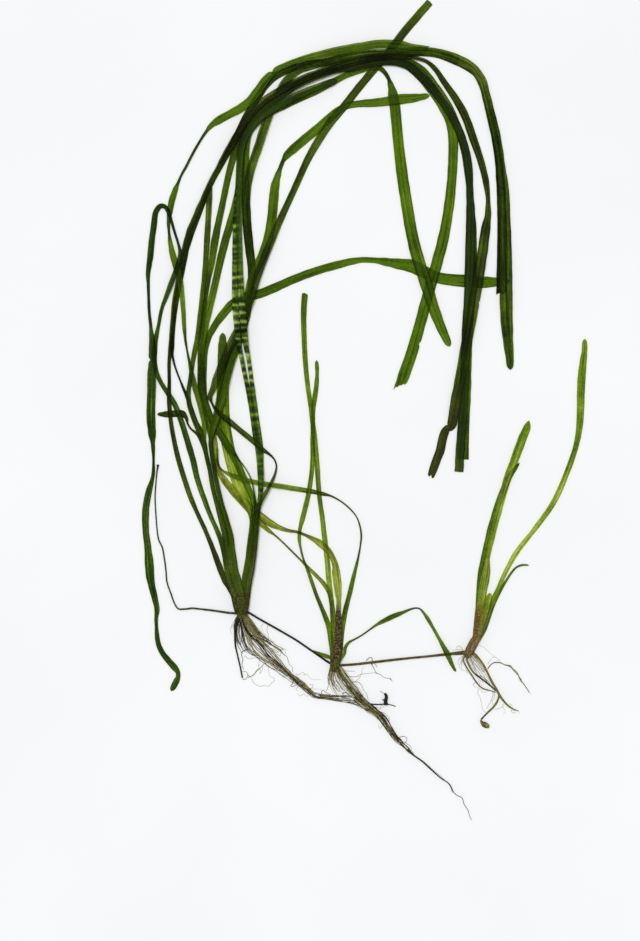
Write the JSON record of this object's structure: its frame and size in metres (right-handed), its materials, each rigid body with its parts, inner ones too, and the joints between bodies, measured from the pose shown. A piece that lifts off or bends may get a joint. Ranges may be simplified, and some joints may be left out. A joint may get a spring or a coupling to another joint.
{
  "type": "pressed vallisneria",
  "caption": "Pressed vallisneria laid flat: long ribbon leaves in rosettes joined by thin runners, with fine roots and a flower stalk.",
  "frame": {"origin": "on the underside of the mother crown, on the sheet that the plant lies on", "axes": "+Z out of the sheet, +Y up the sheet along the longest leaves, +X to the right towards the young rosette"},
  "size_m": [0.229, 0.4219, 0.0044],
  "materials": {
    "deep_green_leaf": "dull, dried",
    "green_leaf": "dull, dried",
    "fresh_green_leaf": "dull, dried",
    "yellow_green_leaf": "dull, dried",
    "olive_leaf": "dull, dried",
    "runner_brown": "dull, dried",
    "root_tan": "dull, dried",
    "crown_brown": "dull, dried"
  },
  "bodies": {
    "root": {"mother_crown": "crown_brown", "middle_crown": "crown_brown", "young_crown": "crown_brown", "runner_mother_to_middle": "runner_brown", "runner_middle_to_young": "olive_leaf", "flower_stalk": "olive_leaf", "mother_roots": "root_tan", "mother_root_left": "runner_brown", "middle_roots": "root_tan", "middle_root_tendril": "runner_brown", "young_root_far_left": "root_tan", "young_root_left": "root_tan", "young_root_thick": "root_tan", "young_root_branch": "root_tan", "young_root_bud": "crown_brown", "young_root_fine": "root_tan", "middle_leaf_lower_left": "yellow_green_leaf", "middle_leaf_right_arch": "green_leaf", "middle_leaf_pointed": "fresh_green_leaf", "middle_leaf_blunt": "fresh_green_leaf", "middle_leaf_yellow": "olive_leaf", "middle_leaf_short": "olive_leaf", "middle_leaf_bent": "green_leaf", "young_leaf_front": "fresh_green_leaf", "young_leaf_upright": "green_leaf", "young_leaf_thin": "green_leaf", "young_leaf_long_right": "fresh_green_leaf", "young_sheath": "yellow_green_leaf", "young_bract": "yellow_green_leaf", "mother_leaf_short_broad": "fresh_green_leaf", "mother_leaf_level": "green_leaf", "mother_leaf_small_left": "green_leaf", "mother_leaf_arch_thin": "deep_green_leaf", "mother_leaf_short_torn": "green_leaf", "mother_leaf_arch_left": "green_leaf", "mother_leaf_arch_inner": "deep_green_leaf", "mother_leaf_arch_bright": "green_leaf", "mother_leaf_arch_outer": "deep_green_leaf", "mother_leaf_hooked": "green_leaf", "mother_leaf_banded_left": "deep_green_leaf", "mother_leaf_banded_right": "deep_green_leaf", "mother_leaf_arch_dark": "deep_green_leaf", "mother_leaf_arch_torn": "green_leaf", "mother_leaf_straight": "green_leaf", "mother_leaf_far_left": "green_leaf"}
  },
  "joints": []
}
